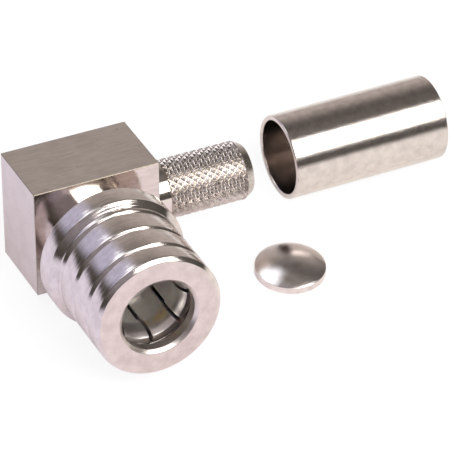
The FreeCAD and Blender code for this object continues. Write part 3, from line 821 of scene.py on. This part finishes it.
finger_profile = flare + bead + root + crest
ring_profile = [(SLOT_ROOT, COLLET_BORE), (SLOT_ROOT, FINGER_R), (COLLET_REAR, FINGER_R),
                (COLLET_REAR, COLLET_BORE)]
print("finger profile has", len(finger_profile), "points")

# %% [markdown]
# ## The locking collet
# The real collet is turned and then slotted. A boolean cut could slot it, but that leaves long thin faces
# that shade badly, so each finger is its own part turn of the profile, closed at its two sides, and a full
# ring behind carries them all. Only the two end faces of a finger have more than four corners, which is how
# their edges are found and rounded.

# %% Locking collet
FIRST_SLOT = math.radians(2.5)
SLOT_WIDTH, SLOT_MEASURED_AT = 0.28, 3.00
FINGER_ROUNDING = 0.02
FINGER_STEPS = 10
SHARP_CORNER = math.radians(60)
slot_angle = SLOT_WIDTH / SLOT_MEASURED_AT
finger_angle = 2 * math.pi / FINGER_COUNT - slot_angle
smooth_points = {place: 0.0 for place in range(1, len(flare) - 1)}


def add_finger(collet, number):
    """Turns one finger, rounds the edges along its slots and adds it to the collet's mesh."""
    finger = bmesh.new()
    profile_outline(finger, finger_profile, FINGER_ROUNDING, smooth_points)
    bmesh.ops.contextual_create(finger, geom=finger.edges[:])
    bmesh.ops.spin(finger, geom=finger.faces[:], cent=CENTRE, axis=AXIS, angle=finger_angle,
                   steps=FINGER_STEPS, use_merge=False, use_duplicate=False)
    bmesh.ops.recalc_face_normals(finger, faces=finger.faces)
    slot_edges = [edge for edge in finger.edges
                  if len(edge.link_faces) == 2 and edge.calc_face_angle() > SHARP_CORNER
                  and max(len(face.verts) for face in edge.link_faces) > 4]
    bmesh.ops.bevel(finger, geom=slot_edges, offset=FINGER_ROUNDING * MM, offset_type="OFFSET", segments=2,
                    profile=0.5, affect="EDGES", clamp_overlap=True, material=-1)
    turn = slot_angle / 2 - FIRST_SLOT + number * 2 * math.pi / FINGER_COUNT
    bmesh.ops.rotate(finger, cent=CENTRE, matrix=Matrix.Rotation(turn, 3, "Y"), verts=finger.verts)
    carrier = bpy.data.meshes.new("finger")
    finger.to_mesh(carrier)
    finger.free()
    collet.from_mesh(carrier)
    bpy.data.meshes.remove(carrier)


bm = bmesh.new()
profile_outline(bm, ring_profile, 0.0)
spin_outline(bm)
for number in range(FINGER_COUNT):
    add_finger(bm, number)
finish_piece("spring_collet", bm, on_axis, spring_nickel, "connector", "locking_collet")

# %% [markdown]
# ## The stem's grid
# Crossed knurling presses rows of small pyramids into the tube so that the braid can't slip. A bump map
# could suggest it, but its sparkle comes from many small facets, so it is real geometry. The spun tube has
# one row of vertices for every half pitch both ways. The tube's end ring is a hair lower than the knurl, so
# that it isn't taken for one of those rows.

# %% Stem profile and grid
STEM_STATION = 14.33
STEM_START, NECK_START, KNURL_END, STEM_END = 2.30, 5.04, 12.554, 13.184
STEM_BORE, SHANK_R, NECK_R, KNURL_R, TIP_R = 1.50, 2.00, 2.05, 2.224, 1.864
DIAMONDS_ROUND, DIAMONDS_ALONG = 24, 10
LEAD_IN, RUN_OUT, END_DROP = 0.06, 0.03, 0.01
stem_place = (Matrix.Translation(on_axis @ Vector((0, STEM_STATION * MM, 0)))
              @ Matrix.Rotation(-math.pi / 2, 4, "Z"))
first_row = KNURL_START + LEAD_IN
half_pitch = (KNURL_END - RUN_OUT - first_row) / (2 * DIAMONDS_ALONG)
knurl_rows = [(first_row + half_pitch * row, KNURL_R) for row in range(2 * DIAMONDS_ALONG + 1)]
shank = [(STEM_START, SHANK_R), (NECK_START, SHANK_R), (NECK_START, NECK_R), (KNURL_START, NECK_R)]
tip = [(KNURL_END, KNURL_R - END_DROP), (STEM_END, TIP_R), (STEM_END, STEM_BORE), (STEM_START, STEM_BORE)]
bm = bmesh.new()
profile_outline(bm, shank + knurl_rows + tip, 0.0)
spin_outline(bm, steps=2 * DIAMONDS_ROUND)
print("knurl: %d rows, half pitch %.3f mm" % (len(knurl_rows), half_pitch))

# %% [markdown]
# ## The crossed knurl
# On the grid, every second vertex is a ridge top and the others are pushed in, and each quad is cut along
# its low diagonal, which makes four flat faces round each top. The ridges could stay razor sharp, but
# plating rounds them, so they get a thin bevel, and the facets are shaded flat by marking their edges
# sharp.

# %% Crimp stem
KNURL_DEPTH = 0.17
RIDGE_BEVEL = 0.010
ON_GRID = 1e-3
FACET_ANGLE = math.radians(20)


def grid_place(vert):
    """The row and the step round of a knurl vertex, or None for any other vertex."""
    out = math.hypot(vert.co.x, vert.co.z) / MM
    row = (vert.co.y / MM - first_row) / half_pitch
    if abs(out - KNURL_R) > ON_GRID or abs(row - round(row)) > ON_GRID:
        return None
    step = math.atan2(vert.co.x, vert.co.z) / (math.pi / DIAMONDS_ROUND)
    return round(row), round(step)


grid = {vert: grid_place(vert) for vert in bm.verts}
tops = {vert for vert, place in grid.items() if place and sum(place) % 2 == 1}
valleys = {vert for vert, place in grid.items() if place and sum(place) % 2 == 0}
push_in = 1 - KNURL_DEPTH / KNURL_R
for vert in valleys:
    vert.co.x *= push_in
    vert.co.z *= push_in
for face in bm.faces[:]:
    low = [vert for vert in face.verts if vert in valleys]
    if len(low) == 2 and sum(vert in tops for vert in face.verts) == 2:
        bmesh.utils.face_split(face, low[0], low[1])
facets = {face for face in bm.faces
          if any(vert in tops for vert in face.verts) and all(grid.get(vert) for vert in face.verts)}
ridges = [edge for edge in bm.edges
          if len(edge.link_faces) == 2 and all(face in facets for face in edge.link_faces)]
bmesh.ops.bevel(bm, geom=ridges, offset=RIDGE_BEVEL * MM, offset_type="OFFSET", segments=1, profile=0.5,
                affect="EDGES", clamp_overlap=True, material=-1)
stem = finish_piece("knurled_stem", bm, stem_place, knurl_nickel, "connector", "crimp_stem",
                    weighted=False)
stem.data.set_sharp_from_angle(angle=FACET_ANGLE)

# %% [markdown]
# ## The loose ferrule
# A plain length of thin tube with slightly broken edges, which will be slid over the braid and crimped. A
# cylinder with a hole would have sharp rims that catch no light, so it is turned like the other pieces. It
# lies on its side on the table, and its place comes from the solid's own box.

# %% Crimp ferrule
FERRULE_R, FERRULE_BORE, FERRULE_LENGTH, FERRULE_ROUNDING = 3.175, 2.795, 12.50, 0.10
FERRULE_YAW = math.radians(0.63)
low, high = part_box("crimp_ferrule")
centre = (low + high) / 2
ferrule_place = (Matrix.Translation((centre.x, centre.y, table_height + FERRULE_R * MM))
                 @ Matrix.Rotation(FERRULE_YAW - math.pi / 2, 4, "Z")
                 @ Matrix.Translation((0, -FERRULE_LENGTH / 2 * MM, 0)))
tube = [(0, FERRULE_BORE), (0, FERRULE_R), (FERRULE_LENGTH, FERRULE_R), (FERRULE_LENGTH, FERRULE_BORE)]
bm = bmesh.new()
profile_outline(bm, tube, FERRULE_ROUNDING)
spin_outline(bm)
finish_piece("loose_ferrule", bm, ferrule_place, ferrule_nickel, "connector",
             "crimp_ferrule")

# %% [markdown]
# ## The loose cap
# A disc with a shallow dome that is pressed into the housing's rear once the wire is soldered. Its section
# is a rim, the dome's arc and a hollow underneath. A squashed ball could make the dome, but an arc keeps
# the light even, and its radius follows from the dome's height and width. The rim is a little higher and
# the dome flatter than in the solid, at the same full height, because the photograph's cap mirrors the
# lamps that way. The section's line on the axis is taken out before the spin, because it would leave a
# crease.

# %% Access cap
CAP_R, CAP_RIM, CAP_DOME = 2.592, 0.53, 0.67
CAP_HOLLOW_R, CAP_HOLLOW = 2.20, 0.70
RIM_ROUNDING, HOLLOW_ROUNDING = 0.02, 0.05
DOME_STEPS = 12


def dome_arc(top, reach, rise):
    """The half section of a dome as station and radius, from its top on the axis out to its edge."""
    radius = (reach ** 2 + rise ** 2) / (2 * rise)
    half_angle = math.asin(reach / radius)
    angles = [half_angle * step / DOME_STEPS for step in range(DOME_STEPS + 1)]
    return [(top - radius * (1 - math.cos(angle)), radius * math.sin(angle)) for angle in angles]


low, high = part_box("access_cap")
centre = (low + high) / 2
cap_place = Matrix.Translation((centre.x, centre.y, low.z)) @ Matrix.Rotation(math.pi / 2, 4, "X")
dome = dome_arc(CAP_RIM + CAP_DOME, CAP_R, CAP_DOME)
hollow = dome_arc(CAP_HOLLOW, CAP_HOLLOW_R, CAP_HOLLOW)[::-1]
rim_place = len(dome) - 1
cap_rounding = {rim_place: RIM_ROUNDING, rim_place + 1: RIM_ROUNDING, rim_place + 2: HOLLOW_ROUNDING}
bm = bmesh.new()
profile_outline(bm, dome + [(0, CAP_R)] + hollow, 0.0, cap_rounding)
along_pole = [edge for edge in bm.edges if all(vert.co.z < MERGE_WITHIN for vert in edge.verts)]
bmesh.ops.delete(bm, geom=along_pole, context="EDGES")
spin_outline(bm)
finish_piece("domed_cap", bm, cap_place, cap_nickel, "connector", "access_cap")

# %% [markdown]
# ## The solids that stay
# The housing, the retaining ring, the outer contact, the insulator and the pin already have their true
# shape as solids. They could be modelled again, but they stay as they are and only take a finish. A solid
# may hold several material slots, so all are given the same one.

# %% Finishes on the solids
FINISHES = {"body_block": block_nickel, "retaining_ring": spring_nickel, "outer_contact": spring_nickel,
            "front_insulator": ptfe, "centre_contact": gold}
for name, finish in FINISHES.items():
    slots = nodes[name].material_slots
    for slot in slots:
        slot.material = finish
    if not slots:
        nodes[name].data.materials.append(finish)
    print(name, "takes", finish.name)
